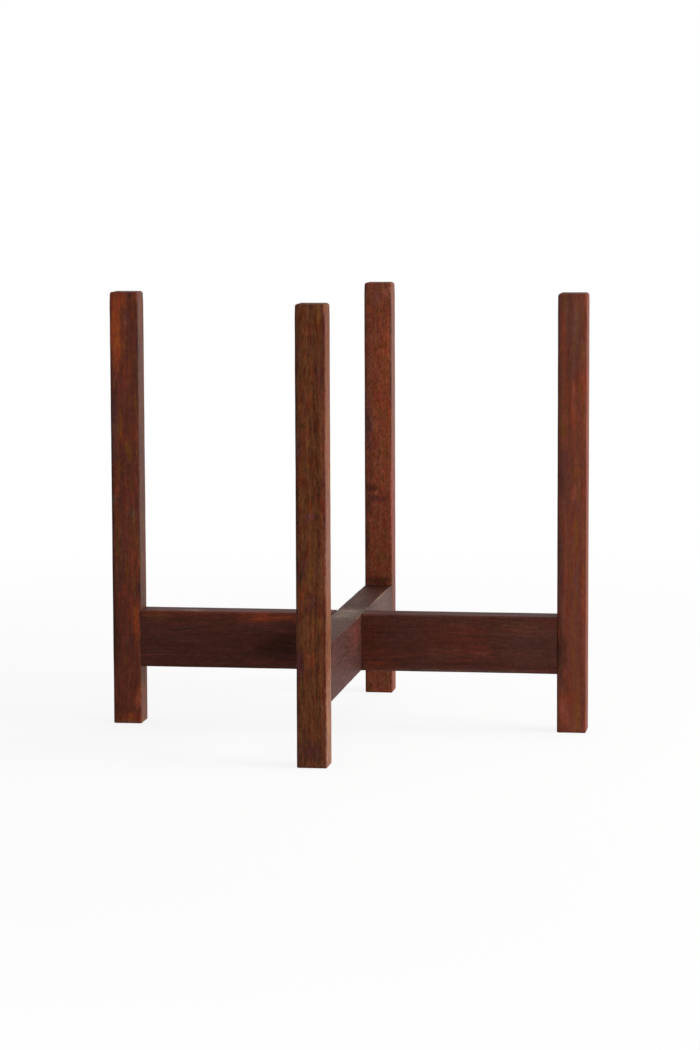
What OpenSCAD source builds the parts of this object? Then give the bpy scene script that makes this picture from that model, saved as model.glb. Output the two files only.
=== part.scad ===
// A stand for one plant pot: four square posts at the ends of a cross of two rails.
// The origin is on the floor, under the middle of the cross. The left-to-right rail lies
// along X, the front-to-back rail lies along Y with the front post at -Y, and +Z is up.

/* [Stand] */
// Width over the outer faces of two opposite posts, the same both ways
stand_w = 330; // [220:1:520]
// Height from the floor to the tops of the posts
stand_h = 301; // [160:1:700]

/* [Posts] */
// Side of a post's square section, which is also the thickness of the rails
post_side = 20; // [18:0.5:32]
// Radius of the eased arrises along a post
post_arris_r = 1; // [0.4:0.1:3]
// Radius of the edges round the top of a post
post_top_r = 2; // [0.4:0.1:4]
// Radius of the edges round the foot of a post
post_foot_r = 1; // [0.4:0.1:4]

/* [Rails] */
// Height of a rail's section
rail_h = 39.5; // [32:0.5:60]
// Height of the rails' bottom faces above the floor
rail_rise = 40.5; // [5:0.5:90]
// Radius of the eased arrises along a rail
rail_arris_r = 1; // [0.4:0.1:3]
// Play on each side of a rail in the other rail's notch
lap_gap = 0.05; // [0:0.01:0.3]

/* [Dowels] */
// Diameter of a dowel
dowel_d = 8; // [6:0.5:10]
// Length of a dowel
dowel_l = 30; // [24:1:40]
// How far a dowel reaches into its post, the rest of it is in the rail
dowel_in_post = 12; // [8:1:14]
// Distance between the centres of the two dowels in a rail end
dowel_pitch = 20; // [14:1:24]
// Size of the chamfer on a dowel's ends
dowel_chamfer = 1; // [0.3:0.1:2]
// Clearance all round a dowel in its bore, which the glue fills
dowel_fit = 0.05; // [0.02:0.01:0.1]
// Room for glue between a dowel's end and the bottom of its bore
glue_room = 1; // [0.5:0.5:3]

/* [Hidden] */
$fn = 48;

// The four sides of the stand in the order of a turn about Z, a quarter turn apart
SIDES = ["right", "back", "left", "front"];
QUARTER = 90;
// The two dowels of a rail end, by the sign of their height from the rail's middle
LEVELS = [["upper", 1], ["lower", -1]];

// The rails run between the inner faces of opposite posts
post_inner_x = stand_w / 2 - post_side;
post_centre_x = stand_w / 2 - post_side / 2;
rail_l = 2 * post_inner_x;
rail_t = post_side;
rail_mid_z = rail_rise + rail_h / 2;
// Where a dowel ends, in the post and in the rail
dowel_outer_x = post_inner_x + dowel_in_post;
dowel_inner_x = dowel_outer_x - dowel_l;
// What a cutter reaches past the face that it opens
CUT = 1;

// A rectangle about the origin with quarter-round corners
module eased_rectangle(w, h, r) {
    square([w - 2 * r, h], center = true);
    square([w, h - 2 * r], center = true);
    for (x = [-1, 1], y = [-1, 1])
        translate([x * (w / 2 - r), y * (h / 2 - r)]) circle(r = r);
}

// A post's outline from the side, about the origin, its top corners rounder than its foot's
module post_outline() {
    foot_and_top = [[-1, post_foot_r], [1, post_top_r]];
    translate([0, (post_foot_r - post_top_r) / 2])
        square([post_side, stand_h - post_top_r - post_foot_r], center = true);
    for (end = foot_and_top) {
        translate([0, end[0] * (stand_h - end[1]) / 2])
            square([post_side - 2 * end[1], end[1]], center = true);
        for (x = [-1, 1])
            translate([x * (post_side / 2 - end[1]), end[0] * (stand_h / 2 - end[1])])
                circle(r = end[1]);
    }
}

// A bar along X about the origin, with eased arrises and plain ends
module eased_bar(l, w, h, r) {
    rotate([90, 0, 90])
        linear_extrude(height = l, center = true) eased_rectangle(w, h, r);
}

// The bores of the dowels in the right-hand joint, from the rail to the post
module dowel_bores() {
    for (level = LEVELS)
        translate([dowel_inner_x - glue_room, 0, rail_mid_z + level[1] * dowel_pitch / 2])
            rotate([0, 90, 0])
                cylinder(h = dowel_l + 2 * glue_room, r = dowel_d / 2 + dowel_fit);
}

// The right-hand post, its long arrises eased and its ends rounded over
module post() {
    color("#5a2f20") difference() {
        translate([post_centre_x, 0, stand_h / 2]) intersection() {
            rotate([0, 90, 0]) eased_bar(stand_h, post_side, post_side, post_arris_r);
            rotate([90, 0, 0]) linear_extrude(height = post_side, center = true) post_outline();
            rotate([90, 0, 90]) linear_extrude(height = post_side, center = true) post_outline();
        }
        dowel_bores();
    }
}

// A rail along X, with the bores in its ends and a notch half its height deep at the middle,
// open upwards (open = 1) or downwards (open = -1)
module rail(open) {
    notch_w = rail_t + 2 * lap_gap;
    notch_h = rail_h / 2 + CUT;
    color("#43221a") difference() {
        translate([0, 0, rail_mid_z]) eased_bar(rail_l, rail_t, rail_h, rail_arris_r);
        translate([0, 0, rail_mid_z + open * notch_h / 2])
            cube([notch_w, rail_t + 2 * CUT, notch_h], center = true);
        for (turn = [0, 2 * QUARTER]) rotate([0, 0, turn]) dowel_bores();
    }
}

// A dowel of the right-hand joint, at a level above or below the rail's middle
module dowel(level) {
    r = dowel_d / 2;
    color("#c9a06c")
        translate([dowel_inner_x, 0, rail_mid_z + level * dowel_pitch / 2])
            rotate([0, 90, 0])
                rotate_extrude()
                    polygon([
                        [0, 0],
                        [r - dowel_chamfer, 0],
                        [r, dowel_chamfer],
                        [r, dowel_l - dowel_chamfer],
                        [r - dowel_chamfer, dowel_l],
                        [0, dowel_l]
                    ]);
}

for (i = [0 : len(SIDES) - 1])
    rotate([0, 0, i * QUARTER]) post();

rail(open = 1);  // rail_left_right
rotate([0, 0, QUARTER]) rail(open = -1);  // rail_front_back

for (i = [0 : len(SIDES) - 1], level = LEVELS)
    rotate([0, 0, i * QUARTER]) dowel(level[1]);
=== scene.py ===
"""Looks of a low timber stand for one plant pot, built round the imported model.

Four square posts stand at the ends of a half-lapped cross of two rails, joined by hidden dowels.
Every visible stick is a planed bar with hand-eased arrises, made by one Geometry Nodes tree from
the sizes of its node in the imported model, and finished in its own piece of stained timber.
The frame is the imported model's: metres, floor at z = 0, front post at -Y, right-hand post at +X.
"""

import logging
import math
from collections.abc import Callable, Sequence
from dataclasses import dataclass
from enum import Enum
from functools import partial

import bpy
from mathutils import Matrix, Vector


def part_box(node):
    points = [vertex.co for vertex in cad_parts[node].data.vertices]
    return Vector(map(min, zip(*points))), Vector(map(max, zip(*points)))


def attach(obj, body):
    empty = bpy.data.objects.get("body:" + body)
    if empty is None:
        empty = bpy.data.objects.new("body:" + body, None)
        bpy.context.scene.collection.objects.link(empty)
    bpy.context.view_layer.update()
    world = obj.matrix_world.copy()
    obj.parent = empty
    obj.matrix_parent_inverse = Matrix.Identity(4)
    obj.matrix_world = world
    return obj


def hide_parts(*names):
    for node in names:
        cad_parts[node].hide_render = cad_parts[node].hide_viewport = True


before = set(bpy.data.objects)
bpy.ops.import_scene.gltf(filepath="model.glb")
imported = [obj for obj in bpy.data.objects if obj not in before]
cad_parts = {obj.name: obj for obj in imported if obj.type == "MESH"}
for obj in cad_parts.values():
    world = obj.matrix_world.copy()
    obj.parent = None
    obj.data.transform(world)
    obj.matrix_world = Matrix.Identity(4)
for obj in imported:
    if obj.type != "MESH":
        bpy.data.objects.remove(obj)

LOG = logging.getLogger("plant_stand")
# One millimetre in the frame's metres
MM = 0.001
# More than any size of the stand, in millimetres
FAR = 1000.0
QUARTER_TURN = math.pi / 2
# The one body of a stand that has no joints
BODY = "root"

# The kinds of node that the trees use most
MATH = "ShaderNodeMath"
VECTOR_MATH = "ShaderNodeVectorMath"
# It takes a value, the range that it is read from and the range that it is turned to
MAP_RANGE = "ShaderNodeMapRange"
MAPPING = "ShaderNodeMapping"
NOISE = "ShaderNodeTexNoise"
JOIN_XYZ = "ShaderNodeCombineXYZ"
SPLIT_XYZ = "ShaderNodeSeparateXYZ"
REALIZE = "GeometryNodeRealizeInstances"
# The setting that lets a map range start and end softly
SOFTLY = {"interpolation_type": "SMOOTHSTEP"}

Pair = tuple[float, float]
Triple = tuple[float, float, float]
Socket = bpy.types.NodeSocket
Feed = Socket | float | int | bool | str | tuple | Vector | bpy.types.Material
Feeds = Sequence[Feed] | dict[str | int, Feed]
Adder = Callable[..., Socket]


def linear(hex_colour: str) -> tuple[float, ...]:
    """Turns an sRGB hex colour into Blender's linear colour.

    Args:
        hex_colour: six hex digits after a hash sign.

    Returns:
        Red, green, blue and an alpha of 1.
    """
    shares = [int(hex_colour[i:i + 2], 16) / 255 for i in (1, 3, 5)]
    parts = [s / 12.92 if s <= 0.04045 else ((s + 0.055) / 1.055) ** 2.4 for s in shares]
    return (*parts, 1.0)


def add_node(tree: bpy.types.NodeTree, kind: str, feeds: Feeds = (), operation: str = "",
             out: int | str = 0, **settings: object) -> Socket | None:
    """Adds a node, sets its properties and feeds its inputs.

    Args:
        tree: the node tree that gets the node.
        kind: the node's type, such as ShaderNodeMath.
        feeds: a socket or a plain value for each input, in order or by index, identifier or name.
        operation: what the node works out, if its kind can work out several things.
        out: the output that is handed back, by its index or name.
        settings: the node's other properties.

    Returns:
        The asked output, or None if the node has none.
    """
    node = tree.nodes.new(kind)
    if operation:
        node.operation = operation
    for name, value in settings.items():
        setattr(node, name, value)
    for key, value in feeds.items() if isinstance(feeds, dict) else enumerate(feeds):
        if isinstance(key, int):
            socket = node.inputs[key]
        else:
            socket = next(s for s in node.inputs if key in (s.identifier, s.name))
        if isinstance(value, Socket):
            tree.links.new(value, socket)
        else:
            socket.default_value = value
    return node.outputs[out] if node.outputs else None


def emptied(owner: bpy.types.Material | bpy.types.World) -> Adder:
    """Empties the node tree of a material or of the world.

    Args:
        owner: what has the tree.

    Returns:
        The function that adds a node to it.
    """
    owner.use_nodes = True
    owner.node_tree.nodes.clear()
    return partial(add_node, owner.node_tree)


def put(name: str, data: bpy.types.ID) -> bpy.types.Object:
    """Puts a new object into the scene.

    Args:
        name: the object's name.
        data: its mesh, lamp or camera.

    Returns:
        The object, at the origin.
    """
    made = bpy.data.objects.new(name, data)
    bpy.context.scene.collection.objects.link(made)
    return made


class Axis(Enum):
    """The frame axis of a stick's grain: its way, and the Euler turn that lays it along Z."""

    X = ((1.0, 0.0, 0.0), (0.0, -QUARTER_TURN, 0.0))
    Y = ((0.0, 1.0, 0.0), (QUARTER_TURN, 0.0, 0.0))
    Z = ((0.0, 0.0, 1.0), (0.0, 0.0, 0.0))

    @property
    def way(self) -> Vector:
        """The axis as a vector."""
        return Vector(self.value[0])


class Worded(Enum):
    """A choice whose word stands in the names of nodes and pieces."""

    @property
    def label(self) -> str:
        """The word as the names have it."""
        return self.name.lower()


class Side(Worded):
    """The four sides of the stand, each with its quarter turns from the right-hand one."""

    RIGHT = 0
    BACK = 1
    LEFT = 2
    FRONT = 3

    @property
    def turn(self) -> float:
        """The side's angle about Z from the right-hand side."""
        return self.value * QUARTER_TURN


class Level(Worded):
    """The two dowels of a rail end, numbered from the top."""

    UPPER = 0
    LOWER = 1


class Tint(Enum):
    """The colours that the stain takes in places, from a bright orange to nearly black. Some also
    stand for light: the dark ones for painted shade and shadow, salmon and mauve for painted light
    and highlight, and dust for painted sheen.
    """

    ORANGE = "#883D20"
    SALMON = "#8C4733"
    BRICK = "#70301F"
    OLIVE = "#643A1A"
    FAWN = "#633B22"
    RUST = "#5A2411"
    TAN = "#684128"
    ASH = "#5A453E"
    DUST_AND_SHEEN = "#6A5955"
    MAUVE = "#5E3530"
    PLUM = "#4A2623"
    UMBER = "#3E2017"
    DARK_STAIN_AND_SHADE = "#2C130C"


class Face(Enum):
    """A long face of a stick: the ways out of it, across it and up it."""

    FRONT = ((0.0, -1.0, 0.0), (1.0, 0.0, 0.0), (0.0, 0.0, 1.0))
    RIGHT = ((1.0, 0.0, 0.0), (0.0, 1.0, 0.0), (0.0, 0.0, 1.0))
    TOP = ((0.0, 0.0, 1.0), (1.0, 0.0, 0.0), (0.0, 1.0, 0.0))

    def lay(self, *lengths: float) -> Vector:
        """Turns lengths out of, across and up the face into lengths along the frame's axes."""
        return Matrix(self.value).transposed() @ Vector(lengths)


@dataclass(frozen=True)
class StainPatch:
    """A place on one face of a stick where the stain took differently, a knot, a worn spot, or a
    painted shade, shadow, highlight or sheen.

    Sizes are millimetres. Its centre is measured across and up from the middle of the face, and
    its reach is half its width, half its height, and how far it goes into the wood.
    """

    face: Face
    across: float
    up: float
    reach_across: float
    reach_up: float
    tint: Tint
    strength: float = 0.6
    ragged: float = 1.8
    depth: float = 2.5


def marks(face: Face, *rows: tuple) -> tuple[StainPatch, ...]:
    """Makes the patches of one face, each row a patch's values in order after its face."""
    return tuple(StainPatch(face, *row) for row in rows)


@dataclass(frozen=True)
class StainCloud:
    """Clouds of one tint all over a stick, drawn out along the grain. Sizes are millimetres."""

    tint: Tint
    size: Pair
    strength: float
    # The values of the pattern at which a cloud starts and at which it is full
    start: float = 0.48
    full: float = 0.68


# Soft and long, on the red posts
POST_CLOUDS = (
    StainCloud(Tint.PLUM, (5.0, 40.0), 0.4),
    StainCloud(Tint.BRICK, (3.5, 20.0), 0.6),
    StainCloud(Tint.OLIVE, (3.0, 20.0), 0.65, 0.52, 0.7),
    StainCloud(Tint.ORANGE, (4.5, 18.0), 0.2, 0.54, 0.72),
)
# Dark where red and light where tan, on the brown post
BROWN_CLOUDS = (
    StainCloud(Tint.RUST, (2.6, 10.0), 0.7, 0.47, 0.66),
    StainCloud(Tint.FAWN, (4.0, 25.0), 0.5),
    StainCloud(Tint.OLIVE, (3.2, 12.0), 0.5, 0.5, 0.7),
    StainCloud(Tint.PLUM, (6.0, 20.0), 0.3),
)
# Small, on the speckled post
SPECKLED_CLOUDS = (
    StainCloud(Tint.PLUM, (6.0, 30.0), 0.35),
    StainCloud(Tint.BRICK, (2.6, 8.0), 0.9, 0.46, 0.64),
    StainCloud(Tint.OLIVE, (3.0, 9.0), 0.7, 0.5, 0.68),
    StainCloud(Tint.SALMON, (4.0, 12.0), 0.4, 0.54, 0.72),
)
# Faint and long, on the rails
RAIL_CLOUDS = (
    StainCloud(Tint.DARK_STAIN_AND_SHADE, (9.0, 60.0), 0.15),
    StainCloud(Tint.UMBER, (3.0, 25.0), 0.6),
    StainCloud(Tint.BRICK, (4.0, 30.0), 0.15),
    StainCloud(Tint.ASH, (4.0, 30.0), 0.08),
)


@dataclass(frozen=True)
class StainedTimber:
    """Meranti, planed and sanded, stained dark red-brown and sprayed with satin lacquer.

    It gives the eye a warm, fairly dark red-brown with darker pores along the grain, cloudy
    places from plum to orange where the stain took unevenly, arrises darkened with painted
    shade, and a dull sheen that turns greyish pink where the light grazes it.
    Sizes are millimetres. A pair is a size across and along the grain, and a triple adds the
    strength. The shade, the stain and the glow are its dark, middle and light colours.
    """

    name: str
    shade: str
    stain: str
    glow: str
    seed: float
    # Where the pith lies from the middle of the stick
    pith: Pair
    # Width and strength of the growth rings' bands
    bands: Pair
    streak: Triple
    fibre: Triple
    # Width and strength
    mottle: Pair
    # Real pores are about 0.3 mm wide, too fine to show, so they are drawn about twice that
    pores: Triple
    patches: tuple[StainPatch, ...]
    clouds: tuple[StainCloud, ...] = POST_CLOUDS
    pore: str = "#2A0C05"
    end_grain: str = "#3A2016"
    end_strength: float = 0.5
    # The edge colour darkens the stain along the long arrises: painted shade
    edge: str = "#24120E"
    edge_width: float = 2.0
    edge_strength: float = 0.3
    # The pattern that makes the rims of patches ragged
    rim: Pair = (2.6, 9.0)
    # How the grain wanders: the size of its bends, and how far it goes from side to side
    bend: Pair = (38.0, 150.0)
    wander: float = 14.0
    # Height of fibres and depth of pores as shares of the relief, and the relief in millimetres
    fibre_rise: float = 0.45
    pore_rise: float = -0.8
    relief: float = 0.08
    relief_strength: float = 0.5
    # Lacquer is rougher in some streaks than in others, and roughest in a pore
    roughness: Pair = (0.52, 0.62)
    pore_roughness: float = 0.25
    ior: float = 1.5
    specular: float = 0.06

    def material(self, middle: Vector, half: Vector, grain: Axis) -> bpy.types.Material:
        """Builds a stick's own material.

        Args:
            middle: the middle of the stick, in metres.
            half: half its size along each axis, in metres.
            grain: the frame axis of its length.

        Returns:
            The finished material.
        """
        made = bpy.data.materials.new(self.name)
        add = emptied(made)
        timber = TimberTree(self, add, half / MM, grain, add(MAPPING, {
            "Vector": add("ShaderNodeTexCoord", out="Object"), "Location": middle,
            "Scale": (MM, MM, MM),
        }, vector_type="TEXTURE"))
        add("ShaderNodeOutputMaterial", {"Surface": timber.surface()})
        return made


class TimberTree:
    """The node tree of a stick's finish. Its patterns lie in millimetres in the stick."""

    # How far each pattern is moved, so that no two are alike
    STREAKS = 0.0
    BENDS = 5.0
    FIBRES = 31.0
    MOTTLES = 47.0
    RIMS = 53.0
    CLOUDS = 67.0
    NEXT_CLOUD = 29.0
    NEXT_SEED = 1000
    # The values of the streaks between which the sheen changes
    SHEEN = (0.3, 0.7)
    # The tones at which the stain has its dark, middle and light colours
    TONES = (0.24, 0.5, 0.76)
    # The range of a pore's random value, and the range of its reach that this is turned to
    PORE_REACH = (0.35, 1.0, 0.05, 0.55)
    # Where a patch starts to fade and where it is gone, in shares of its reach
    RIM = (0.2, 1.2)
    # How far the streaks move the rim of the edge colour, and where it starts to fade
    EDGE_SHIFT, EDGE_START = 2.0, 1.2

    def __init__(self, look: StainedTimber, add: Adder, half: Vector, grain: Axis,
                 place: Socket) -> None:
        """Lays the patterns that more than one part of the finish needs.

        Args:
            look: the finish.
            add: adds a node to the tree.
            half: half the stick's size along each axis.
            grain: the frame axis of its length.
            place: the place from the stick's middle, along the frame's axes.
        """
        self.look, self.add, self.half, self.grain, self.place = look, add, half, grain, place
        # The place with the grain along Z and the pith on the Z axis, straight and then wandering
        self.run = add(MAPPING, {
            "Vector": place, "Rotation": grain.value[1],
            "Location": (*look.pith, self.NEXT_SEED * look.seed),
        })
        bends = self._pattern(look.bend, 1.0, self.BENDS, out="Color")
        centred = add(VECTOR_MATH, (bends, (0.5, 0.5, 0.5)), "SUBTRACT")
        swing = (look.wander, look.wander, 0.0)
        self.run = add(VECTOR_MATH, (centred, swing, self.run), "MULTIPLY_ADD")
        self.streaks = self._pattern(look.streak[:2], 3.0, self.STREAKS)
        self.fibres = self._pattern(look.fibre[:2], 2.0, self.FIBRES)
        self.pores = self._pores()

    def surface(self) -> Socket:
        """Joins colour, sheen and relief in the shader.

        Returns:
            The surface.
        """
        look, add = self.look, self.add
        pored = add(MATH, (self.pores, look.pores[2]), "MULTIPLY")
        fibres = add(MATH, (self.fibres, look.fibre_rise), "MULTIPLY")
        height = add(MATH, (self.pores, look.pore_rise, fibres), "MULTIPLY_ADD")
        relief = add("ShaderNodeBump", {
            "Height": height, "Strength": look.relief_strength, "Distance": look.relief * MM,
        })
        sheen = add(MAP_RANGE, (self.streaks, *self.SHEEN, *look.roughness))
        rough = add(MATH, (pored, look.pore_roughness, sheen), "MULTIPLY_ADD")
        return add("ShaderNodeBsdfPrincipled", {
            "Base Color": self._colour(pored), "Roughness": rough, "Normal": relief,
            "IOR": look.ior, "Specular IOR Level": look.specular,
        })

    def _colour(self, pored: Socket) -> Socket:
        """Lays tints over the grain: clouds, patches, some of them painted shade, shadow, highlight
        and sheen, the painted shade of the edges, pores and end grain.

        Args:
            pored: the share of the pores' colour.

        Returns:
            The colour of the surface.
        """
        look, add = self.look, self.add
        colour = self._grain()
        for number, cloud in enumerate(look.clouds):
            pattern = self._pattern(cloud.size, 2.0, self.CLOUDS + self.NEXT_CLOUD * number)
            share = add(MAP_RANGE, (pattern, cloud.start, cloud.full, 0.0, cloud.strength), **SOFTLY)
            colour = self._tinted(colour, cloud.tint.value, share)
        rims = self._pattern(look.rim, 3.0, self.RIMS)
        for patch in look.patches:
            colour = self._tinted(colour, patch.tint.value, self._patch_share(patch, rims))
        colour = self._tinted(colour, look.edge, self._edge_share())
        colour = self._tinted(colour, look.pore, pored)
        ends = add("ShaderNodeAttribute", out="Fac", attribute_name=EasedBarRule.END)
        ended = add(MATH, (ends, look.end_strength), "MULTIPLY")
        return self._tinted(colour, look.end_grain, ended)

    def _pattern(self, size: Pair, detail: float, shift: float, out: int | str = 0) -> Socket:
        """Adds a pattern drawn out along the grain.

        Args:
            size: width and length of its marks.
            detail: how many finer layers it has.
            shift: moves it.
            out: the noise's output to hand back.

        Returns:
            The pattern, from about 0.2 to 0.8 round a middle of 0.5.
        """
        width, length = size
        laid = self.add(MAPPING, {
            "Vector": self.run, "Location": (shift, 2 * shift, shift),
            "Scale": (1 / width, 1 / width, 1 / length),
        })
        return self.add(NOISE, {
            "Vector": laid, "Scale": 1.0, "Detail": detail, "Roughness": 0.55,
        }, out=out)

    def _pores(self) -> Socket:
        """Adds the open pores, dashes along the grain, each of its own size.

        Returns:
            The share, 1 in the middle of a pore and 0 outside it.
        """
        add = self.add
        width, length, _ = self.look.pores
        laid = add(MAPPING, {
            "Vector": self.run, "Scale": (1 / width, 1 / width, 1 / length),
        })
        cells = add("ShaderNodeTexVoronoi", {"Vector": laid, "Scale": 1.0}).node.outputs
        value = add("ShaderNodeSeparateColor", (cells["Color"],))
        reach = add(MAP_RANGE, (value, *self.PORE_REACH))
        return add(MAP_RANGE, (cells["Distance"], 0.0, reach, 1.0, 0.0), **SOFTLY)

    def _grain(self) -> Socket:
        """Adds the patterns up into a tone and gives it its colour between dark and light stain.

        Returns:
            The colour of the plain grain.
        """
        look, add = self.look, self.add
        flat = add(VECTOR_MATH, (self.run, (1.0, 1.0, 0.0)), "MULTIPLY")
        from_pith = add(VECTOR_MATH, (flat,), "LENGTH", out="Value")
        width, band_strength = look.bands
        bands = add(NOISE, {
            "W": from_pith, "Scale": 1 / width, "Detail": 2.0, "Roughness": 0.6,
        }, noise_dimensions="1D")
        spot, mottle_strength = look.mottle
        mottles = self._pattern((spot, 1.5 * spot), 2.0, self.MOTTLES)
        layers = ((bands, band_strength), (self.streaks, look.streak[2]),
                  (self.fibres, look.fibre[2]), (mottles, mottle_strength))
        tone: Feed = 0.5 - sum(strength for _, strength in layers) / 2
        for pattern, strength in layers:
            tone = add(MATH, (pattern, strength, tone), "MULTIPLY_ADD")
        colour = add("ShaderNodeValToRGB", (tone,))
        stops = colour.node.color_ramp.elements
        stops.new(0.5)
        for stop, at, shade in zip(stops, self.TONES, (look.shade, look.stain, look.glow)):
            stop.position = at
            stop.color = linear(shade)
        return colour

    def _tinted(self, colour: Socket, tint: str, share: Socket) -> Socket:
        """Turns a share of the stain's colour into a tint, the grain showing through.

        Args:
            colour: the colour so far.
            tint: the colour that the plain stain would turn into.
            share: how much of it, from 0 to 1.

        Returns:
            The new colour.
        """
        factor = [new / old for new, old in zip(linear(tint), linear(self.look.stain))]
        return self.add("ShaderNodeMix", {
            "Factor_Float": share, "A_Color": colour, "B_Color": factor,
        }, out=2, data_type="RGBA", blend_type="MULTIPLY")

    def _patch_share(self, patch: StainPatch, rims: Socket) -> Socket:
        """Gives the share of a patch's colour: full at its centre, ragged along the grain.

        Args:
            patch: the patch.
            rims: the pattern that makes its rim ragged.

        Returns:
            The share, from 0 to the patch's strength.
        """
        face = patch.face
        out = abs(self.half.dot(Vector(face.value[0])))
        reach = face.lay(patch.depth, patch.reach_across, patch.reach_up)
        from_centre = self.add(MAPPING, {
            "Vector": self.place, "Location": face.lay(out, patch.across, patch.up),
            "Scale": tuple(abs(part) for part in reach),
        }, vector_type="TEXTURE")
        far = self.add(VECTOR_MATH, (from_centre,), "LENGTH", out="Value")
        uneven = self.add(MATH, (rims, patch.ragged, far), "MULTIPLY_ADD")
        # The rims' pattern has a middle of 0.5, which moves the rim by half of its raggedness
        start, gone = (share + patch.ragged / 2 for share in self.RIM)
        return self.add(MAP_RANGE, (uneven, start, gone, patch.strength, 0.0), **SOFTLY)

    def _edge_share(self) -> Socket:
        """Gives the share of the dark edge colour, a painted shade, by the way to the nearest long
        arris.

        Returns:
            The share, from 0 to the edge colour's strength.
        """
        look, add = self.look, self.add
        # As if the stick were endless, so that its ends count for nothing
        half = self.half + FAR * self.grain.way
        inset = add(VECTOR_MATH, (half, add(VECTOR_MATH, (self.place,), "ABSOLUTE")), "SUBTRACT")
        x, y, z = add(SPLIT_XYZ, (inset,)).node.outputs
        # On a face the smallest of the three is about 0, and the next one is the way to an arris
        low = add(MATH, (x, y), "MINIMUM")
        high = add(MATH, (x, y), "MAXIMUM")
        second = add(MATH, (low, add(MATH, (high, z), "MINIMUM")), "MAXIMUM")
        uneven = add(MATH, (self.streaks, self.EDGE_SHIFT, second), "MULTIPLY_ADD")
        gone = self.EDGE_START + look.edge_width
        return add(MAP_RANGE, (uneven, self.EDGE_START, gone, look.edge_strength, 0.0), **SOFTLY)


@dataclass(frozen=True)
class BareBeech:
    """Beech dowel rod, turned, fluted and left bare.

    It gives the eye a pale pinkish straw colour with short brown ray flecks of half a millimetre.
    """

    name: str = "bare_beech"
    straw: str = "#C9A06C"
    fleck: str = "#A87B4C"
    fleck_size: float = 0.5 * MM
    # The values of the pattern at which a fleck starts and at which it is full
    fleck_range: Pair = (0.45, 0.75)

    def material(self) -> bpy.types.Material:
        """Builds the material of every dowel.

        Returns:
            The finished material.
        """
        made = bpy.data.materials.new(self.name)
        add = emptied(made)
        flecks = add(NOISE, {
            "Vector": add("ShaderNodeTexCoord", out="Object"), "Scale": 1 / self.fleck_size,
            "Detail": 3.0,
        })
        share = add(MAP_RANGE, (flecks, *self.fleck_range), **SOFTLY)
        colour = add("ShaderNodeMix", {
            "Factor_Float": share, "A_Color": linear(self.straw), "B_Color": linear(self.fleck),
        }, out=2, data_type="RGBA")
        relief = add("ShaderNodeBump", {
            "Height": flecks, "Strength": 0.3, "Distance": 0.05 * MM,
        })
        surface = add("ShaderNodeBsdfPrincipled", {
            "Base Color": colour, "Normal": relief, "Roughness": 0.7, "Specular IOR Level": 0.3,
        })
        add("ShaderNodeOutputMaterial", {"Surface": surface})
        return made


class PieceRule:
    """A Geometry Nodes rule that makes a piece from named inputs for its sizes."""

    NAME = ""
    # Names of the inputs by the kind of their socket
    INPUTS: dict[str, tuple[str, ...]] = {}
    # Where a rail end's dowels are, on the right-hand side
    JOINT_INPUTS = ("Joint X", "Joint Height", "Pitch")

    def __init__(self) -> None:
        """Builds the tree once, for all pieces of this rule."""
        self.tree = bpy.data.node_groups.new(self.NAME, "GeometryNodeTree")
        self.add = partial(add_node, self.tree)
        sockets = self.tree.interface
        for kind, names in self.INPUTS.items():
            for name in names:
                sockets.new_socket(name=name, in_out="INPUT", socket_type="NodeSocket" + kind)
        sockets.new_socket(name="Geometry", in_out="OUTPUT", socket_type="NodeSocketGeometry")
        self.given = self.tree.nodes.new("NodeGroupInput").outputs
        plain = self.add(REALIZE, (self._shape(),))
        finish = self.given["Material"]
        dressed = self.add("GeometryNodeSetMaterial", {"Geometry": plain, "Material": finish})
        self.add("NodeGroupOutput", (dressed,))

    def _shape(self) -> Socket:
        """Makes the geometry, all but its material."""
        raise NotImplementedError

    def _at_joints(self, rod: Socket, ends: Feed, step: float, first: Feed) -> Socket:
        """Lays a rod along X at both levels of a rail end, and repeats it at more rail ends.

        Args:
            rod: the rod, along Z about the origin.
            ends: how many rail ends get it.
            step: the angle about the stand's middle from one to the next.
            first: the angle of the first one from the right-hand side.

        Returns:
            All the rods in one mesh.
        """
        add, given = self.add, self.given
        quarter = (0.0, QUARTER_TURN, 0.0)
        laid = add("GeometryNodeTransform", {"Geometry": rod, "Rotation": quarter})
        low = add(MATH, (given["Pitch"], -0.5, given["Joint Height"]), "MULTIPLY_ADD")
        pair = add("GeometryNodeMeshLine", {
            "Count": len(Level), "Start Location": add(JOIN_XYZ, (given["Joint X"], 0.0, low)),
            "Offset": add(JOIN_XYZ, (0.0, 0.0, given["Pitch"])),
        })
        two = add("GeometryNodeInstanceOnPoints", {"Points": pair, "Instance": laid})
        one_end = add(REALIZE, (two,))
        middles = add("GeometryNodeMeshLine", {"Count": ends, "Offset": (0.0, 0.0, 0.0)})
        turn = add(MATH, (add("GeometryNodeInputIndex"), step, first), "MULTIPLY_ADD")
        turned = add("GeometryNodeInstanceOnPoints", {
            "Points": middles, "Instance": one_end, "Rotation": add(JOIN_XYZ, (0.0, 0.0, turn)),
        })
        return add(REALIZE, (turned,))

    def grow(self, name: str, values: dict[str, Feed]) -> bpy.types.Object:
        """Makes a piece by the rule, as a plain mesh.

        Args:
            name: the piece's name.
            values: a value for each input, by the input's name.

        Returns:
            The piece.
        """
        piece = put(name, bpy.data.meshes.new(name + "_start"))
        maker = piece.modifiers.new("maker", "NODES")
        maker.node_group = self.tree
        for item in self.tree.interface.items_tree:
            if item.in_out == "INPUT" and item.name in values:
                value = values[item.name]
                maker[item.identifier] = tuple(value) if isinstance(value, Vector) else value
        seen = piece.evaluated_get(bpy.context.evaluated_depsgraph_get())
        mesh = bpy.data.meshes.new_from_object(seen)
        mesh.name = name
        piece.modifiers.remove(maker)
        piece.data = mesh
        LOG.info("%s: %d faces", name, len(mesh.polygons))
        return piece


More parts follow.
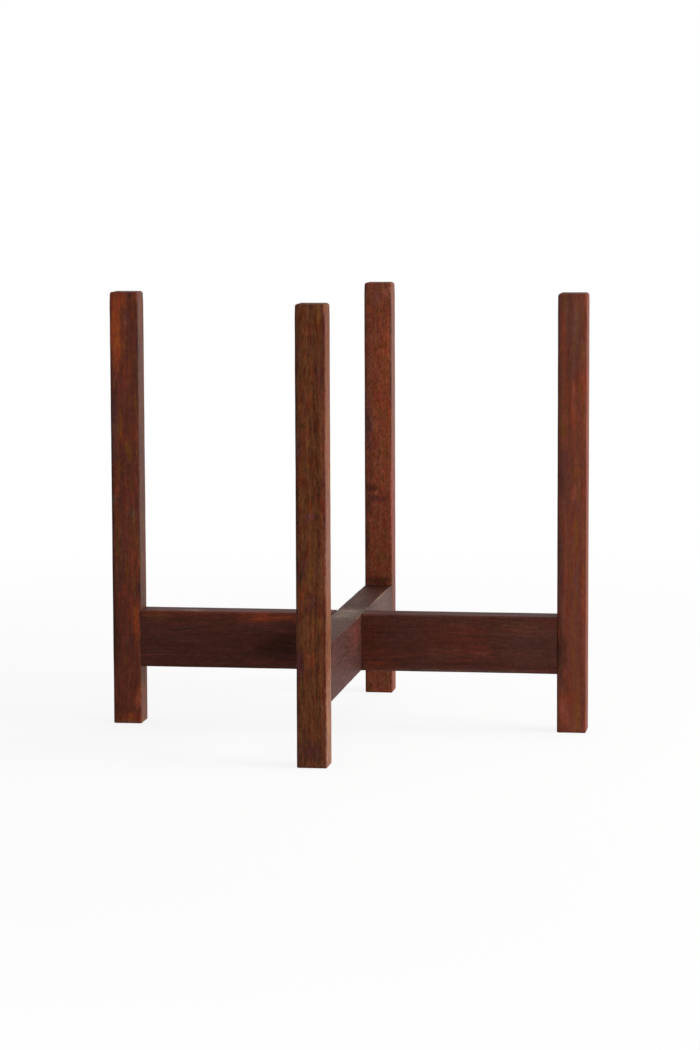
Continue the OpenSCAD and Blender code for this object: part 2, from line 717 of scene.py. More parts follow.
class EasedBarRule(PieceRule):
    """Every stick: a bar with eased arrises, bored and notched.

    A gridded cube is laid out so that its last rows of faces fall on the arrises, and each point
    goes to a core box plus a radius in its own direction. The radius and the faces vary a little,
    as sanding by hand leaves them. Then the dowel bores and the half lap are cut.
    """

    NAME = "eased_bar"
    INPUTS = {
        "Vector": ("Middle", "Half Size", "Grain", "Easing", "Flat Share", "Notch Middle",
                   "Notch Size"),
        "Float": ("Top Easing", "Hollow", "Hand", "Seed", "Bore Turn", "Bore Radius",
                  "Bore Depth", *PieceRule.JOINT_INPUTS),
        "Int": ("Points X", "Points Y", "Points Z", "Bored Ends"),
        "Bool": ("Notched",),
        "Material": ("Material",),
    }
    # The attribute that tells the finish where end grain is
    END = "end"
    # Rows of faces from the edge of a flat face to the middle of its arris
    EASE_ROWS = 4
    # Marks of the hand are some 25 mm across
    HAND_MARK = 25 * MM
    BORE_SIDES = 32
    # Faces that meet at more than this angle keep a crisp edge
    CRISP = math.radians(35)
    # The values of the hand's pattern between which the easing changes
    HAND = (0.25, 0.75)
    # Where the easing turns into the top's, in shares of half the length
    TOP = (0.95, 1.0)
    # How squarely a face looks along the grain where end grain starts and where it is full
    SQUARE = (0.8, 0.97)

    def _shape(self) -> Socket:
        """Makes the bar, cuts it, and marks and shades its faces."""
        return self._marked(self._cut(self._rounded()))

    def _rounded(self) -> Socket:
        """Makes the bar with its eased arrises, before any cut.

        Returns:
            The bar.
        """
        add, given = self.add, self.given
        flat, ones = given["Flat Share"], (1.0, 1.0, 1.0)
        cube = add("GeometryNodeMeshCube", (
            (2.0, 2.0, 2.0), given["Points X"], given["Points Y"], given["Points Z"]))
        at = add("GeometryNodeInputPosition")
        # Where the point lies on the core box, from -1 to 1 on each axis
        core = add(VECTOR_MATH, (at, flat), "DIVIDE")
        core = add(VECTOR_MATH, (core, ones), "MINIMUM")
        core = add(VECTOR_MATH, (core, (-1.0, -1.0, -1.0)), "MAXIMUM")
        # How far it is past the core, from 0 to 1 on each axis
        within = add(VECTOR_MATH, (core, flat), "MULTIPLY")
        past = add(VECTOR_MATH, (at, within), "SUBTRACT")
        room = add(VECTOR_MATH, (ones, flat), "SUBTRACT")
        beyond = add(VECTOR_MATH, (past, room), "DIVIDE")
        size = add(VECTOR_MATH, (beyond,), "ABSOLUTE")
        x, y, z = add(SPLIT_XYZ, (size,)).node.outputs
        most = add(MATH, (x, add(MATH, (y, z), "MAXIMUM")), "MAXIMUM")
        outward = add(VECTOR_MATH, {
            0: add(VECTOR_MATH, (beyond,), "NORMALIZE"), "Scale": most,
        }, "SCALE")

        easing, hollow = self._by_hand(at, core)
        inner = add(VECTOR_MATH, (given["Half Size"], easing), "SUBTRACT")
        inner = add(VECTOR_MATH, (core, inner, given["Middle"]), "MULTIPLY_ADD")
        # A hollow only takes wood away, so the stick stays within its true size
        reach = add(VECTOR_MATH, (easing, hollow), "SUBTRACT")
        settled = add(VECTOR_MATH, (outward, reach, inner), "MULTIPLY_ADD")
        return add("GeometryNodeSetPosition", {"Geometry": cube, "Position": settled})

    def _by_hand(self, at: Socket, core: Socket) -> tuple[Socket, Socket]:
        """Varies the easing and hollows the faces a little, as sanding does.

        Args:
            at: the point on the gridded cube.
            core: the point on the core box.

        Returns:
            The easing on each axis, and the depth of the hollow.
        """
        add, given = self.add, self.given
        spot = add(VECTOR_MATH, (at, given["Half Size"]), "MULTIPLY")
        hand = add(NOISE, {
            "Vector": spot, "W": given["Seed"], "Scale": 1 / self.HAND_MARK, "Detail": 1.0,
        }, noise_dimensions="4D")
        least = add(MATH, (1.0, given["Hand"]), "SUBTRACT")
        most = add(MATH, (1.0, given["Hand"]), "ADD")
        swing = add(MAP_RANGE, (hand, *self.HAND, least, most))
        # The top of a post is rounded more than its arrises and its foot
        along = add(VECTOR_MATH, (core, given["Grain"]), "DOT_PRODUCT", out="Value")
        near_top = add(MAP_RANGE, (along, *self.TOP, 0.0, given["Top Easing"]), **SOFTLY)
        eased = add(VECTOR_MATH, (given["Easing"], near_top), "ADD")
        easing = add(VECTOR_MATH, {0: eased, "Scale": swing}, "SCALE")
        return easing, add(MATH, (hand, given["Hollow"]), "MULTIPLY")

    def _cut(self, bar: Socket) -> Socket:
        """Cuts the dowel bores and, in a rail, the half lap.

        Args:
            bar: the bar with its eased arrises.

        Returns:
            The cut bar.
        """
        add, given = self.add, self.given
        rod = add("GeometryNodeMeshCylinder", {
            "Vertices": self.BORE_SIDES, "Radius": given["Bore Radius"],
            "Depth": given["Bore Depth"],
        })
        # A rail's second bored end is its first one turned by half a turn
        bores = self._at_joints(rod, given["Bored Ends"], 2 * QUARTER_TURN, given["Bore Turn"])
        notch = add("GeometryNodeTransform", {
            "Geometry": add("GeometryNodeMeshCube", (given["Notch Size"],)),
            "Translation": given["Notch Middle"],
        })
        bored = add("GeometryNodeMeshBoolean", {"Mesh 1": bar, "Mesh 2": bores},
                    "DIFFERENCE", solver="EXACT")
        notched = add("GeometryNodeMeshBoolean", {"Mesh 1": bored, "Mesh 2": notch},
                      "DIFFERENCE", solver="EXACT")
        return add("GeometryNodeSwitch", {
            "Switch": given["Notched"], "False": bored, "True": notched,
        }, input_type="GEOMETRY")

    def _marked(self, bar: Socket) -> Socket:
        """Marks end grain for the finish and shades the faces.

        Args:
            bar: the cut bar.

        Returns:
            The shaded bar.
        """
        add = self.add
        facing = add(VECTOR_MATH, (add("GeometryNodeInputNormal"), self.given["Grain"]),
                     "DOT_PRODUCT", out="Value")
        squareness = add(MATH, (facing,), "ABSOLUTE")
        end = add(MAP_RANGE, (squareness, *self.SQUARE), **SOFTLY)
        bar = add("GeometryNodeStoreNamedAttribute", {
            "Geometry": bar, "Name": self.END, "Value": end,
        }, data_type="FLOAT", domain="POINT")
        smooth = add("GeometryNodeSetShadeSmooth", {"Geometry": bar}, domain="FACE")
        crisp = add("FunctionNodeCompare", (add("GeometryNodeInputMeshEdgeAngle"), self.CRISP),
                    "GREATER_THAN", data_type="FLOAT")
        return add("GeometryNodeSetShadeSmooth", {
            "Geometry": smooth, "Selection": crisp, "Shade Smooth": False,
        }, domain="EDGE")


@dataclass(frozen=True)
class DowelJoint:
    """The two dowels of a rail end, all sizes read from the right-hand pair. Metres."""

    middle_x: float
    height: float
    pitch: float
    length: float
    radius: float
    fit: float = 0.05 * MM
    glue_room: float = 1 * MM

    @classmethod
    def from_frame(cls) -> "DowelJoint":
        """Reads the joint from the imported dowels.

        Returns:
            The joint.
        """
        low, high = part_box("dowel_right_lower")
        upper_low, upper_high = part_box("dowel_right_upper")
        lower_z = (low.z + high.z) / 2
        upper_z = (upper_low.z + upper_high.z) / 2
        return cls(
            middle_x=(low.x + high.x) / 2,
            height=(lower_z + upper_z) / 2,
            pitch=upper_z - lower_z,
            length=high.x - low.x,
            radius=(high.y - low.y) / 2,
        )

    def place(self) -> dict[str, Feed]:
        """Gives a rule's joint inputs by name."""
        return dict(zip(PieceRule.JOINT_INPUTS, (self.middle_x, self.height, self.pitch)))

    def bores(self, turn: float, ends: int) -> dict[str, Feed]:
        """Gives the bar rule's inputs for the bores of a stick.

        Args:
            turn: the angle about Z of the stick's first bored end.
            ends: how many ends are bored, half a turn apart.

        Returns:
            The inputs by name.
        """
        return {
            "Bore Turn": turn, "Bored Ends": ends, "Bore Radius": self.radius + self.fit,
            "Bore Depth": self.length + 2 * self.glue_room, **self.place(),
        }


@dataclass(frozen=True)
class Stick:
    """One planed bar of the stand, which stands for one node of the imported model. Metres."""

    node: str
    grain: Axis
    finish: StainedTimber
    slot: str
    arris_r: float
    top_r: float
    seed: float
    sawn: bool = False
    row_length: float = 3 * MM
    rows_across: int = 16
    hollow: float = 0.08 * MM
    hand: float = 0.25

    def make(self, bar: EasedBarRule, cuts: dict[str, Feed]) -> None:
        """Makes the stick where its node is and dresses it.

        Args:
            bar: the rule of all sticks.
            cuts: the rule's inputs for bores and notch.
        """
        low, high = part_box(self.node)
        middle, half = (low + high) / 2, (high - low) / 2
        along = self.grain.way
        length = 2 * half.dot(along)
        rows = [round(length / self.row_length) if a else self.rows_across for a in along]
        # A sawn end has no eased rows, so there its face is flat right to the edge
        sawn = [bool(a) and self.sawn for a in along]
        flat = [1.0 if s else 1 - 2 * bar.EASE_ROWS / n for s, n in zip(sawn, rows)]
        piece = bar.grow(f"{self.node}_timber", {
            "Middle": middle, "Half Size": half, "Grain": along,
            "Easing": Vector([0.0 if s else self.arris_r for s in sawn]),
            "Flat Share": Vector(flat), "Top Easing": self.top_r - self.arris_r,
            "Points X": rows[0] + 1, "Points Y": rows[1] + 1, "Points Z": rows[2] + 1,
            "Hollow": self.hollow, "Hand": self.hand, "Seed": self.seed,
            "Material": self.finish.material(middle, half, self.grain), **cuts,
        })
        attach(piece, BODY)
        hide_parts(self.node)


# The places on each stick where the stain took differently, and where shade, shadow, highlight and
# sheen are painted
FRONT_POST_MARKS = marks(
    Face.FRONT,
    # Painted shade down the left margin, painted light down the right one
    (-10, 0, 5, 400, Tint.UMBER, 0.35, 0.5), (10, 0, 4, 400, Tint.SALMON, 0.2, 0.5),
    (-3, 134, 4, 9, Tint.ORANGE, 0.15), (4, 143, 5, 9, Tint.OLIVE), (-3, 99, 3, 8, Tint.OLIVE),
    (6, 105, 4, 14, Tint.PLUM, 0.5), (0, 86, 4, 4, Tint.RUST), (-9, 57, 2.5, 7, Tint.ASH, 0.4),
    (3.5, 50, 4, 6, Tint.RUST), (-7.5, 42, 3, 18, Tint.ORANGE, 0.2), (8, 20, 3, 9, Tint.RUST),
    (0, 18, 2.5, 6, Tint.OLIVE), (-0.5, 13.5, 4, 3.4, Tint.MAUVE, 0.9, 0.8),
    (3.4, 13.5, 1.8, 3, Tint.DARK_STAIN_AND_SHADE, 0.6, 0.8), (-5, -18, 3, 4.5, Tint.MAUVE, 0.35),
    (5, -20, 3.5, 6, Tint.MAUVE, 0.3), (0, -22, 2.2, 8, Tint.OLIVE, 0.9),
    (-6, -24, 3, 4, Tint.UMBER), (-7, -40, 3, 11, Tint.ORANGE, 0.3), (2, -43, 5, 7, Tint.PLUM),
    (3.5, -54, 4, 3, Tint.OLIVE, 0.7), (1, -62, 2.5, 6, Tint.SALMON, 0.25),
    (5, -68, 1.6, 9, Tint.DARK_STAIN_AND_SHADE), (-8, -84, 5, 13, Tint.PLUM, 0.7), (0, -80, 3, 6, Tint.ORANGE, 0.4),
    (-5, -102, 2, 4, Tint.UMBER), (-2.5, -129, 2.5, 8, Tint.UMBER, 0.5),
    (0.5, -139, 9, 8, Tint.PLUM, 0.7, 1.2), (0, -149, 14, 4, Tint.TAN, 0.5, 0.8),
    (2, -143, 11, 5, Tint.UMBER, 0.2, 0.8), (0, 148, 14, 5, Tint.TAN, 0.4, 0.8),
) + marks(
    Face.RIGHT,
    (0, 5, 60, 110, Tint.TAN, 1.0, 0.4, 1.5), (0, -135, 60, 60, Tint.TAN, 1.0, 0.4, 1.5),
    (0, -135, 60, 60, Tint.TAN, 1.0, 0.4, 1.5), (0, 125, 60, 45, Tint.UMBER, 0.15, 0.4, 1.5),
    (0, -8, 60, 40, Tint.ASH, 0.15, 0.4, 1.5),
)
LEFT_POST_MARKS = marks(
    Face.FRONT,
    # Painted shade down the left margin
    (-10, -10, 7, 170, Tint.UMBER, 0.75, 0.5), (-3, 144, 12, 7, Tint.ORANGE, 0.3),
    (-5.5, 121, 5, 30, Tint.ORANGE, 0.85, 1.0), (1.5, 131, 2.5, 5, Tint.MAUVE),
    (-8.5, 80, 3, 26, Tint.PLUM), (-7.5, 52, 4, 28, Tint.MAUVE, 0.7),
    (-3, 62, 1.6, 14, Tint.OLIVE, 0.7), (3, 41, 2.8, 9, Tint.OLIVE, 0.9),
    (-5.5, 13, 3, 4, Tint.ORANGE, 0.3), (-8.5, 7, 2.5, 4, Tint.ASH, 0.8),
    (5, -3, 4, 4, Tint.ASH, 0.35), (-6, -20, 2, 24, Tint.OLIVE, 0.5),
    (-1, -54, 3, 3, Tint.BRICK, 0.7), (-1, -59, 3, 2.5, Tint.ORANGE, 0.3),
    (8.5, -56, 2.5, 6, Tint.PLUM, 0.7), (-8, -90, 4, 20, Tint.UMBER),
    (-1, -92, 2.5, 4, Tint.MAUVE, 0.8), (6.5, -80, 4, 14, Tint.ORANGE, 0.9, 1.2),
    (8, -134, 3, 9, Tint.SALMON, 0.5), (0, -147, 14, 6, Tint.ORANGE, 0.45, 1.0),
    (0, -149.5, 14, 2.5, Tint.ASH, 0.3, 0.5),
) + marks(
    Face.RIGHT,
    # The salmon patch low on the side is painted light
    (0, -140, 60, 60, Tint.SALMON, 0.9, 0.4, 1.5), (0, 0, 60, 400, Tint.UMBER, 0.5, 0.4, 1.5),
    (0, 0, 60, 400, Tint.ASH, 0.3, 0.4, 1.5),
)
BACK_POST_MARKS = marks(
    Face.FRONT,
    # Painted shade down the left margin
    (-10, 0, 5, 400, Tint.UMBER, 0.3, 0.5), (0, -40, 30, 40, Tint.UMBER, 0.12, 0.5),
    (9, 90, 12, 80, Tint.ORANGE, 0.2, 0.4), (-10, 60, 8, 110, Tint.PLUM, 0.2, 0.4),
    (-7, 140, 4, 6, Tint.OLIVE), (5.5, 143, 3, 4, Tint.SALMON, 0.5),
    (7.5, 115, 1.2, 18, Tint.SALMON), (-7.5, 50, 4, 24, Tint.MAUVE, 0.8),
    (8.3, 55, 1.8, 18, Tint.ORANGE), (9.7, 0, 1.3, 42, Tint.SALMON, 0.95, 0.5),
    (-4.5, 0.5, 7, 3.6, Tint.DARK_STAIN_AND_SHADE, 0.55, 0.8), (-2, -2.2, 2.4, 1.8, Tint.SALMON, 0.5, 0.6),
    (3.5, 1, 4.5, 3.6, Tint.SALMON, 0.2, 0.8), (-1, -7, 11, 4, Tint.PLUM, 0.75, 0.8),
    (-8.5, -14, 4, 7, Tint.UMBER, 0.6, 1.0), (3, -50, 4, 5, Tint.OLIVE, 0.7),
    # The wide umber band low on this face is painted shade where the rail meets the post
    (-1, -57, 3.5, 4.5, Tint.ORANGE, 0.5), (0, -68, 12, 4, Tint.UMBER, 0.8),
    (0, 144, 14, 12, Tint.ASH, 0.2, 0.8), (0, -142, 14, 12, Tint.ASH, 0.15, 0.8),
) + marks(
    Face.RIGHT,
    (0, 85, 60, 90, Tint.ASH, 0.6, 0.4, 1.5), (0, -15, 60, 42, Tint.MAUVE, 0.4, 0.4, 1.5),
    (2, -84, 30, 26, Tint.UMBER, 0.35, 1.4, 1.5), (-4, -84, 30, 26, Tint.ASH, 0.5, 1.4, 1.5),
)
RIGHT_POST_MARKS = marks(
    Face.FRONT,
    # Painted shade down the left margin, painted light down the right one
    (-10, 0, 6, 400, Tint.UMBER, 0.35, 0.5), (10, 0, 7, 400, Tint.SALMON, 0.2, 0.5),
    (-6.5, 125, 2.2, 24, Tint.BRICK, 0.7), (3, 128, 2.4, 10, Tint.MAUVE, 0.9),
    (6, 112, 2.2, 8, Tint.OLIVE), (1.3, 86, 1.5, 7, Tint.SALMON), (5.3, 86, 1.7, 7, Tint.OLIVE, 0.8),
    (-7, 60, 4, 9, Tint.OLIVE, 0.7), (1, 68, 6, 8, Tint.ORANGE, 0.2),
    (-6, 30, 4.8, 19, Tint.PLUM, 0.65), (1.2, 15, 1.7, 7, Tint.SALMON, 0.5),
    (8, 15, 2, 8, Tint.BRICK, 0.7), (4.5, 14, 1.6, 8, Tint.OLIVE, 0.7),
    (-8.3, -35, 3, 44, Tint.MAUVE, 0.8), (3, -14, 2.4, 18, Tint.OLIVE, 0.7),
    (3, -43, 2.4, 12, Tint.MAUVE, 0.9), (-3, -42, 2.3, 12, Tint.BRICK),
    # The umber patch low on the left is painted shade beside the rail
    (8.3, -43, 1.5, 8, Tint.OLIVE), (-7.5, -96, 4.5, 25, Tint.UMBER, 0.8),
    (-2, -126, 7, 6, Tint.BRICK, 0.5), (-5, -134, 4, 12, Tint.SALMON, 0.5),
    (0, -146, 14, 12, Tint.SALMON, 0.15, 0.8), (0, 128, 14, 40, Tint.ASH, 0.14, 0.8),
    (4.5, -139, 3.5, 9, Tint.OLIVE, 0.5),
)
LONG_RAIL_MARKS = marks(
    Face.FRONT,
    (-110, 20, 80, 6, Tint.BRICK, 0.3, 0.8), (-133, 16, 10, 3, Tint.OLIVE, 0.4),
    # The darkest patch, below the orange band, is a painted shadow cast by the crossing rail
    (-54, 16, 26, 4.2, Tint.ORANGE, 0.5, 1.2), (-46, -3.5, 24, 12, Tint.DARK_STAIN_AND_SHADE, 0.8, 1.0),
    # The dark patch right of the crossing is painted shade in the inner corner
    (17, 3, 12, 18, Tint.DARK_STAIN_AND_SHADE, 0.3, 1.0), (16, 0, 14, 22, Tint.BRICK, 0.25, 0.8),
    (24, -16.5, 14, 4, Tint.BRICK, 0.3), (75, 2, 30, 16, Tint.BRICK, 0.2, 1.0),
    (95, -5, 9, 4, Tint.BRICK, 0.25), (118, 13, 15, 5, Tint.OLIVE, 0.15),
    (128, 0, 26, 20, Tint.ASH, 0.1, 0.8), (80, -19.6, 70, 2.6, Tint.ASH, 0.7, 0.5),
    # A painted highlight along the top front arris
    (0, 19.6, 400, 1.4, Tint.MAUVE, 0.55, 0.3),
) + marks(
    Face.TOP,
    (-110, -4, 12, 4, Tint.DUST_AND_SHEEN, 0.65, 1.8, 1.0), (-111, -5, 10, 3, Tint.MAUVE, 0.6, 1.8, 1.0),
)
CROSS_RAIL_MARKS = marks(
    Face.RIGHT,
    (-36, 10, 30, 12, Tint.BRICK, 0.2, 0.8), (78, 0, 80, 60, Tint.ASH, 0.5, 0.4, 1.5),
) + marks(
    Face.TOP,
    # On the top, the dust colour over the crossing is dust and a painted sheen of the lacquer
    (0, 0, 60, 400, Tint.UMBER, 0.8, 0.4), (0, -6, 24, 34, Tint.DUST_AND_SHEEN, 0.6, 0.9),
    (-2, 4, 8, 8, Tint.MAUVE, 0.6, 1.2), (-4, -22, 5, 12, Tint.MAUVE, 0.3, 1.2),
    (9, -24, 4, 26, Tint.UMBER, 0.5, 1.0), (-3, 60, 4, 26, Tint.DUST_AND_SHEEN, 0.2, 1.4),
    (0, -60, 24, 90, Tint.DUST_AND_SHEEN, 0.18, 0.9), (10, 80, 1.4, 75, Tint.MAUVE, 0.3, 0.4, 1.4),
    (10, 90, 1.4, 70, Tint.DUST_AND_SHEEN, 0.35, 0.4, 1.4), (0, 30, 14, 10, Tint.DARK_STAIN_AND_SHADE, 0.3),
    # Painted shade and painted dark reflection on the top next to the back post
    (0, 112, 22, 42, Tint.UMBER, 0.6, 0.9), (0, 142, 22, 24, Tint.DARK_STAIN_AND_SHADE, 0.85, 0.9),
)

POST_FINISHES = {
    # Coarse open pores and a brown base, with the strongest patches of the four near the rail
    Side.FRONT: StainedTimber(
        "stained_meranti_front_post", shade="#381C10", stain="#5B331B", glow="#774528",
        seed=1.3, pith=(75.0, 10.0), bands=(3.0, 0.3), streak=(2.0, 30.0, 0.35),
        fibre=(1.3, 6.0, 0.5), mottle=(1.3, 0.4), pores=(1.7, 6.0, 0.55), clouds=BROWN_CLOUDS,
        patches=FRONT_POST_MARKS,
    ),
    # Redder, with a bright orange corner above and another beside the rail
    Side.LEFT: StainedTimber(
        "stained_meranti_left_post", shade="#3E1D14", stain="#5A2C20", glow="#763C2B",
        seed=2.1, pith=(50.0, 40.0), bands=(3.4, 0.25), streak=(3.0, 60.0, 0.5),
        fibre=(1.4, 6.0, 0.3), mottle=(1.8, 0.35), pores=(1.3, 5.0, 0.2), patches=LEFT_POST_MARKS,
    ),
    # Brick red and finely mottled, with a small dark knot halfway up
    Side.BACK: StainedTimber(
        "stained_meranti_back_post", shade="#4C2414", stain="#6F3925", glow="#8A4A31",
        seed=3.7, pith=(40.0, 55.0), bands=(3.0, 0.3), streak=(3.0, 40.0, 0.3),
        fibre=(1.4, 3.0, 0.5), mottle=(1.4, 0.6), pores=(1.4, 2.6, 0.35),
        clouds=SPECKLED_CLOUDS, patches=BACK_POST_MARKS,
    ),
    # Smoother, in soft upright streaks of red, orange and plum
    Side.RIGHT: StainedTimber(
        "stained_meranti_right_post", shade="#48221A", stain="#643427", glow="#7C4534",
        seed=4.9, pith=(55.0, 30.0), bands=(4.0, 0.25), streak=(2.8, 70.0, 0.35),
        fibre=(1.6, 9.0, 0.2), mottle=(2.4, 0.3), pores=(1.2, 6.0, 0.15),
        patches=RIGHT_POST_MARKS,
    ),
}
RAIL_FINISHES = {
    # Darker than the posts, with fine grain and a bright orange band beside the crossing
    Axis.X: StainedTimber(
        "stained_meranti_long_rail", shade="#2F1611", stain="#47241D", glow="#5D3428",
        seed=6.2, pith=(30.0, 60.0), bands=(2.6, 0.15), streak=(1.2, 60.0, 0.25),
        fibre=(0.9, 7.0, 0.25), mottle=(1.5, 0.35), pores=(1.1, 7.0, 0.2),
        clouds=RAIL_CLOUDS, edge_strength=0.1, patches=LONG_RAIL_MARKS,
    ),
    # Dusty grey with a painted sheen where the rails cross, and painted shade on top towards the
    # back post
    Axis.Y: StainedTimber(
        "stained_meranti_cross_rail", shade="#2C1714", stain="#422622", glow="#553530",
        seed=7.5, pith=(45.0, 45.0), bands=(2.8, 0.15), streak=(1.8, 60.0, 0.45),
        fibre=(1.0, 12.0, 0.35), mottle=(2.4, 0.6), pores=(1.1, 7.0, 0.1),
        clouds=RAIL_CLOUDS[:2], edge_strength=0.1, patches=CROSS_RAIL_MARKS,
    ),
}


@dataclass(frozen=True)
class Posts:
    """The four square posts, arrises and feet eased and tops rounded over. Metres."""

    bar: EasedBarRule
    joint: DowelJoint
    arris_r: float = 1 * MM
    top_r: float = 2 * MM

    def build(self) -> None:
        """Makes and dresses the post of each side."""
        for side, finish in POST_FINISHES.items():
            post = Stick(
                node=f"post_{side.label}", grain=Axis.Z, finish=finish, slot="post_wood",
                arris_r=self.arris_r, top_r=self.top_r, seed=float(side.value),
            )
            post.make(self.bar, self.joint.bores(side.turn, 1))


@dataclass(frozen=True)
class RailCross:
    """The two rails, crossed at the middle in a half lap and sawn square at their ends. Metres."""

    bar: EasedBarRule
    joint: DowelJoint
    arris_r: float = 1 * MM
    lap_gap: float = 0.05 * MM
    # How far the cutter of a notch reaches past the rail
    over: float = 2 * MM

    def build(self) -> None:
        """Makes and dresses both rails: the one along X is open upwards, the other downwards."""
        for node, grain, first_end, opens in (
                ("rail_left_right", Axis.X, Side.RIGHT, 1),
                ("rail_front_back", Axis.Y, Side.BACK, -1)):
            rail = Stick(
                node=node, grain=grain, finish=RAIL_FINISHES[grain], slot="rail_wood",
                arris_r=self.arris_r, top_r=self.arris_r, seed=10.0 + opens, sawn=True,
            )
            bores = self.joint.bores(first_end.turn, 2)
            rail.make(self.bar, {**bores, **self._notch(node, grain, opens)})

    def _notch(self, node: str, grain: Axis, opens: int) -> dict[str, Feed]:
        """Gives the bar rule's inputs for the half lap of a rail.

        Args:
            node: the rail's node.
            grain: the axis of its length.
            opens: 1 if the notch opens upwards, -1 if downwards.

        Returns:
            The inputs by name.
        """
        low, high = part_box(node)
        across = Vector((1.0, 1.0, 0.0)) - grain.way
        thickness = (high - low).dot(across)
        size = (grain.way * (thickness + 2 * self.lap_gap)
                + across * (thickness + 2 * self.over))
        size.z = (high.z - low.z) / 2 + self.over
        middle = (low + high) / 2
        middle.z += opens * size.z / 2
        return {"Notched": True, "Notch Middle": middle, "Notch Size": size}


class DowelRule(PieceRule):
    """The dowels: a fluted, chamfered rod, set at both levels of all four sides."""

    NAME = "fluted_dowels"
    INPUTS = {
        "Float": ("Radius", "Length", "Chamfer", "Flute Depth", *PieceRule.JOINT_INPUTS),
        "Int": ("Flutes",),
        "Material": ("Material",),
    }
    # Points round the rod for each flute, and rows of faces along it
    POINTS_PER_FLUTE = 6
    ROWS = 30

    def _shape(self) -> Socket:
        """Makes one dowel and sets it at all eight places.

        Returns:
            The dowels.
        """
        add, given = self.add, self.given
        rod = add("GeometryNodeMeshCylinder", {
            "Vertices": add(MATH, (given["Flutes"], self.POINTS_PER_FLUTE), "MULTIPLY"),
            "Side Segments": self.ROWS, "Radius": given["Radius"], "Depth": given["Length"],
        })
        at = add("GeometryNodeInputPosition")
        x, y, z = add(SPLIT_XYZ, (at,)).node.outputs
        angle = add(MATH, (y, x), "ARCTAN2")
        phase = add(MATH, (angle, given["Flutes"]), "MULTIPLY")
        wave = add(MATH, (add(MATH, (phase,), "COSINE"), 0.0), "MAXIMUM")
        groove = add(MATH, (wave, given["Flute Depth"]), "MULTIPLY")
        # The chamfer takes the rod in by as much as the row is nearer its end than the chamfer
        half = add(MATH, (given["Length"], 0.5), "MULTIPLY")
        from_end = add(MATH, (half, add(MATH, (z,), "ABSOLUTE")), "SUBTRACT")
        chamfer = add(MATH, (given["Chamfer"], from_end), "SUBTRACT")
        taken = add(MATH, (groove, chamfer), "MAXIMUM")
        lost = add(MATH, (taken, given["Radius"]), "DIVIDE")
        share = add(MATH, (1.0, lost), "SUBTRACT")
        settled = add(VECTOR_MATH, (at, add(JOIN_XYZ, (share, share, 1.0))), "MULTIPLY")
        dowel = add("GeometryNodeSetPosition", {"Geometry": rod, "Position": settled})
        return self._at_joints(dowel, len(Side), QUARTER_TURN, 0.0)


@dataclass(frozen=True)
class Dowels:
    """The eight beech dowels, hidden in the joints, fluted so that the glue can spread. Metres."""

    joint: DowelJoint
    finish: BareBeech = BareBeech()
    chamfer: float = 1 * MM
    flute_depth: float = 0.3 * MM
    flutes: int = 12

    def build(self) -> None:
        """Makes all eight as one piece, because they ride on one body."""
        piece = DowelRule().grow("dowels_beech", {
            "Radius": self.joint.radius, "Length": self.joint.length, "Chamfer": self.chamfer,
            "Flute Depth": self.flute_depth, "Flutes": self.flutes,
            "Material": self.finish.material(), **self.joint.place(),
        })
        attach(piece, BODY)
        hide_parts(*(f"dowel_{side.label}_{level.label}" for side in Side for level in Level))


@dataclass(frozen=True)
class SoftLight:
    """A softbox: a square area lamp at a place, turned to the stand. Metres and watts."""

    name: str
    place: Triple
    side: float
    watts: float
    aim: Triple = (0.0, 0.0, 0.15)

    def build(self) -> None:
        """Adds the lamp."""
        lamp = bpy.data.lights.new(self.name, "AREA")
        lamp.shape = "SQUARE"
        lamp.size = self.side
        lamp.energy = self.watts
        way = Vector(self.aim) - Vector(self.place)
        put(self.name, lamp).matrix_world = (
            Matrix.Translation(self.place) @ way.to_track_quat("-Z", "Y").to_matrix().to_4x4())


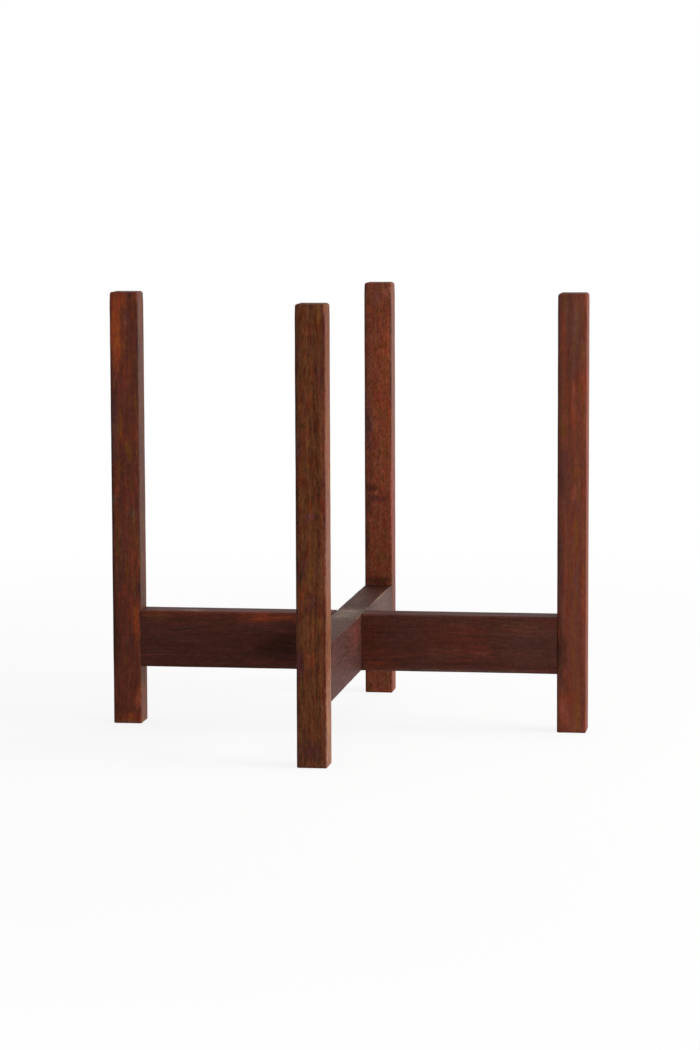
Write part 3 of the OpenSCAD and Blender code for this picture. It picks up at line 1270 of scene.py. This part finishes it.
@dataclass(frozen=True)
class Studio:
    """The pale floor, white surroundings, soft lamps and the camera at the photograph's place.

    The camera was fitted to the stand's edges in the photograph: angles in degrees, lengths in
    millimetres, the image's long side 36 mm on the sensor.
    """

    lens: float = 120.085
    sensor: float = 36.0
    azimuth: float = 8.533
    elevation: float = 6.453
    roll: float = -0.216
    distance: float = 2416.1
    target: Triple = (0.0, 0.0, 150.0)
    slide_right: float = 0.823
    slide_up: float = -9.572
    # Side of the square floor, in metres
    floor_side: float = 12.0
    floor_colour: str = "#F4F3F1"
    # Share of plain white in what the camera sees of the floor, near the stand and far from it,
    # so that the stand's shadow stays pale and no horizon shows
    floor_lift: Pair = (0.85, 1.0)
    # How far from the stand's middle the share starts and stops growing, in metres
    floor_fade: Pair = (0.4, 1.1)
    # Level of the surroundings on matt surfaces
    surround: float = 0.5
    lamps: tuple[SoftLight, ...] = (
        SoftLight("key_softbox", (2.0, -0.3, 0.45), 1.2, 62.0),
        SoftLight("top_softbox", (0.3, 0.3, 2.0), 1.4, 8.0),
    )

    def build(self) -> None:
        """Sets up the whole studio."""
        self._view()
        self._floor()
        self._surroundings()
        for lamp in self.lamps:
            lamp.build()
        bpy.context.scene.view_settings.view_transform = "Standard"
        LOG.info("studio: camera, floor, surroundings and %d lamps", len(self.lamps))

    def _view(self) -> None:
        """Adds the camera."""
        a, e, r = (math.radians(v) for v in (self.azimuth, self.elevation, self.roll))
        back = Vector((math.sin(a) * math.cos(e), -math.cos(a) * math.cos(e), math.sin(e)))
        level = (-back).cross(Vector((0.0, 0.0, 1.0))).normalized()
        upright = back.cross(level)
        right = level * math.cos(r) + upright * math.sin(r)
        up = upright * math.cos(r) - level * math.sin(r)
        spot = Vector(self.target) + back * self.distance
        spot += right * self.slide_right + up * self.slide_up
        lens = bpy.data.cameras.new("camera")
        lens.lens = self.lens
        lens.sensor_width = self.sensor
        lens.sensor_fit = "AUTO"
        camera = put("camera", lens)
        camera.matrix_world = (Matrix.Translation(spot * MM)
                               @ Matrix((right, up, back)).transposed().to_4x4())
        bpy.context.scene.camera = camera

    def _floor(self) -> None:
        """Lays the pale floor, which keeps the stand's shadow."""
        half = self.floor_side / 2
        mesh = bpy.data.meshes.new("floor")
        mesh.from_pydata([(-half, -half, 0), (half, -half, 0), (half, half, 0), (-half, half, 0)],
                         [], [(0, 1, 2, 3)])
        floor = put("floor", mesh)
        finish = bpy.data.materials.new("pale_paper_floor")
        add = emptied(finish)
        paper = add("ShaderNodeBsdfDiffuse", {"Color": linear(self.floor_colour)})
        white = add("ShaderNodeEmission", {"Strength": 1.0})
        far = add(VECTOR_MATH, (add("ShaderNodeTexCoord", out="Object"),), "LENGTH", out="Value")
        lift = add(MAP_RANGE, (far, *self.floor_fade, *self.floor_lift), **SOFTLY)
        share = add(MATH, (self._direct_rays(add), lift), "MULTIPLY")
        mixed = add("ShaderNodeMixShader", (share, paper, white))
        add("ShaderNodeOutputMaterial", {"Surface": mixed})
        mesh.materials.append(finish)

    def _surroundings(self) -> None:
        """Makes the surroundings white to the eye and softer as a light."""
        world = bpy.data.worlds.new("studio")
        bpy.context.scene.world = world
        add = emptied(world)
        level = add(MAP_RANGE, (self._direct_rays(add), 0.0, 1.0, self.surround, 1.0))
        light = add("ShaderNodeBackground", {"Color": (1.0, 1.0, 1.0, 1.0), "Strength": level})
        add("ShaderNodeOutputWorld", {"Surface": light})

    def _direct_rays(self, add: Adder) -> Socket:
        """Gives 1 where the eye sees a surface itself, in a mirror or through glass, else 0.

        Args:
            add: adds a node to the tree that asks.

        Returns:
            The 1 or 0.
        """
        rays = add("ShaderNodeLightPath").node.outputs
        seen = rays["Is Camera Ray"]
        for kind in ("Is Glossy Ray", "Is Transmission Ray"):
            seen = add(MATH, (seen, rays[kind]), "MAXIMUM")
        return seen


def main() -> None:
    logging.basicConfig(level=logging.INFO, format="%(message)s")
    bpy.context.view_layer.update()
    joint = DowelJoint.from_frame()
    bar = EasedBarRule()
    Studio().build()
    Posts(bar, joint).build()
    RailCross(bar, joint).build()
    Dowels(joint).build()


if __name__ == "__main__":
    main()
